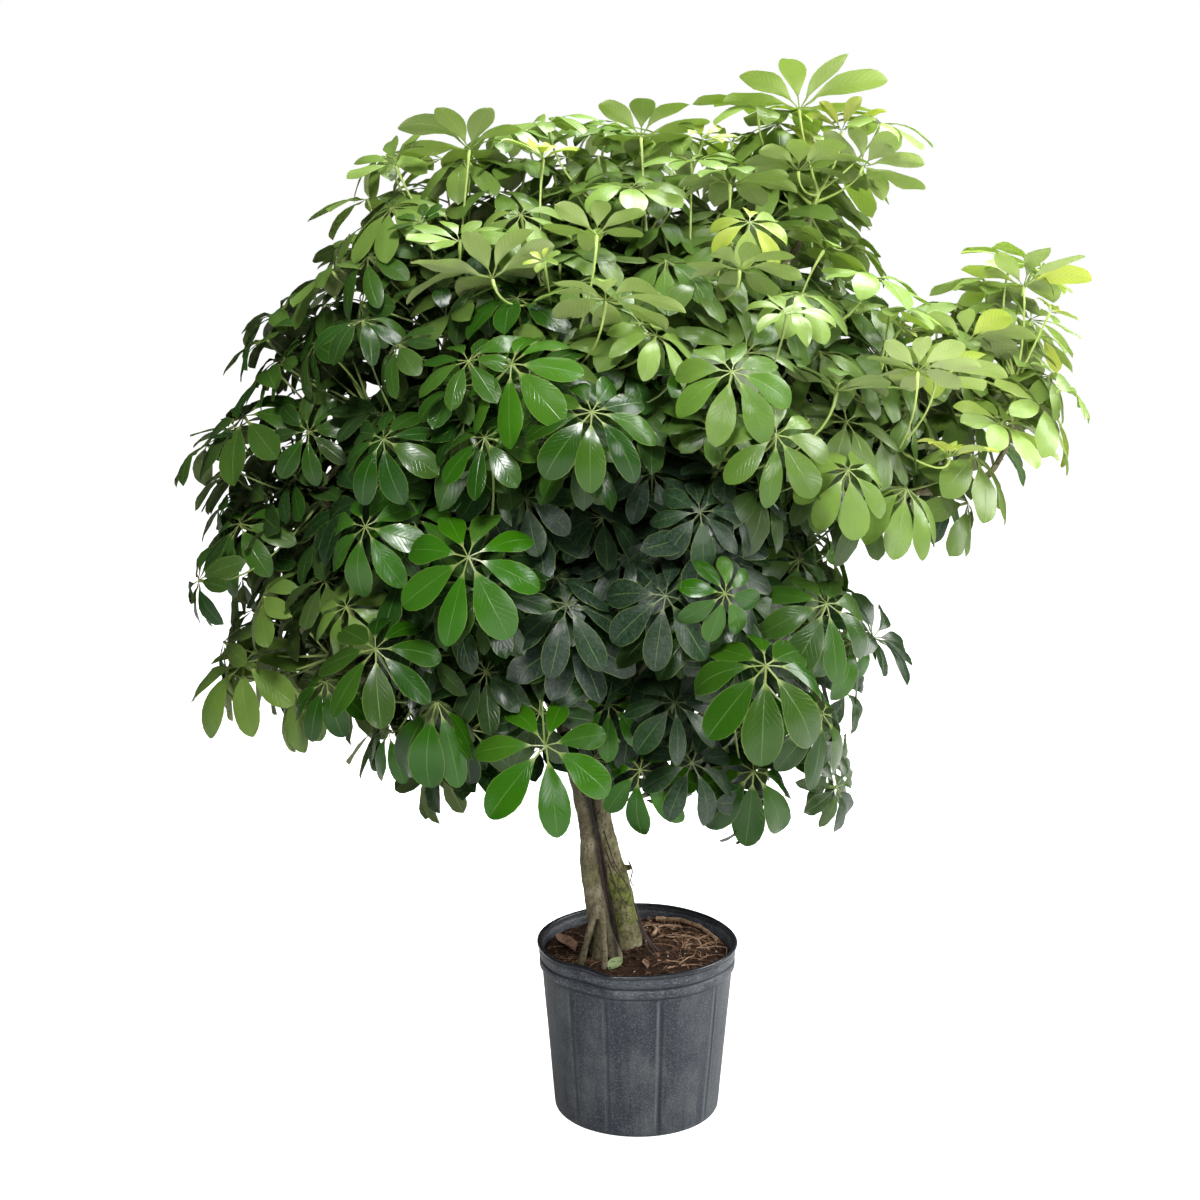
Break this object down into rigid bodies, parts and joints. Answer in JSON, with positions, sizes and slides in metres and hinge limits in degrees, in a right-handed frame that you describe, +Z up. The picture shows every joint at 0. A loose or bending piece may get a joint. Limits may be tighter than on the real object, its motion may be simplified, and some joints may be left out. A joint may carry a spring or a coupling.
{
  "type": "potted umbrella plant",
  "caption": "Bushy umbrella plant with two woody trunks, leafy shoots of ringed leaflets, rooted in soil in a round black nursery container.",
  "frame": {"origin": "middle of the underside of the pot, on the surface that it stands on", "axes": "+Z up along the pot's axis, -Y towards the front, +X to the right of the front view"},
  "size_m": [1.1862, 0.9501, 1.42],
  "materials": {
    "pot": "dark grey-black injection-moulded polyethylene, satin, scuffed and dusty",
    "soil": "moist fibrous potting mix of bark, peat and rootlets, matt",
    "bark": "grey-beige bark with dark lenticels and green moss, matt",
    "root": "brown woody root, matt",
    "green_leaf": "leathery leaves, glossy mid green on top and paler and matt underneath, green stalks",
    "dry_leaf": "dry curled brown leaf and bark, matt"
  },
  "bodies": {
    "root": {"bark_flake": "dry_leaf", "fallen_leaf_dry": "dry_leaf", "fallen_leaf_green": "green_leaf", "limb_back_left": "bark", "limb_back_low": "bark", "limb_back_right": "bark", "limb_back_top": "bark", "limb_front": "bark", "limb_front_left": "bark", "limb_front_top": "bark", "limb_low_left": "bark", "limb_low_right": "bark", "limb_right": "bark", "limb_upper_left": "bark", "limb_upper_right": "bark", "nursery_pot": "pot", "potting_soil": "soil", "shoot_back_1": "green_leaf", "shoot_back_10": "green_leaf", "shoot_back_11": "green_leaf", "shoot_back_12": "green_leaf", "shoot_back_2": "green_leaf", "shoot_back_3": "green_leaf", "shoot_back_4": "green_leaf", "shoot_back_5": "green_leaf", "shoot_back_6": "green_leaf", "shoot_back_7": "green_leaf", "shoot_back_8": "green_leaf", "shoot_back_9": "green_leaf", "shoot_branch_end": "green_leaf", "shoot_branch_low": "green_leaf", "shoot_branch_middle": "green_leaf", "shoot_branch_upper": "green_leaf", "shoot_centre_left": "green_leaf", "shoot_crown_centre": "green_leaf", "shoot_crown_left": "green_leaf", "shoot_crown_right": "green_leaf", "shoot_edge_left": "green_leaf", "shoot_edge_low_left": "green_leaf", "shoot_edge_low_right": "green_leaf", "shoot_edge_upper_left": "green_leaf", "shoot_front_centre": "green_leaf", "shoot_front_left": "green_leaf", "shoot_front_right": "green_leaf", "shoot_inner_centre": "green_leaf", "shoot_inner_left": "green_leaf", "shoot_low_centre": "green_leaf", "shoot_low_left": "green_leaf", "shoot_low_middle": "green_leaf", "shoot_low_right": "green_leaf", "shoot_shoulder_left": "green_leaf", "shoot_shoulder_right": "green_leaf", "shoot_upper_centre": "green_leaf", "shoot_upper_centre_left": "green_leaf", "shoot_upper_right": "green_leaf", "surface_root_back": "root", "surface_root_edge": "root", "trunk_left": "bark", "trunk_right": "bark"}
  },
  "joints": []
}
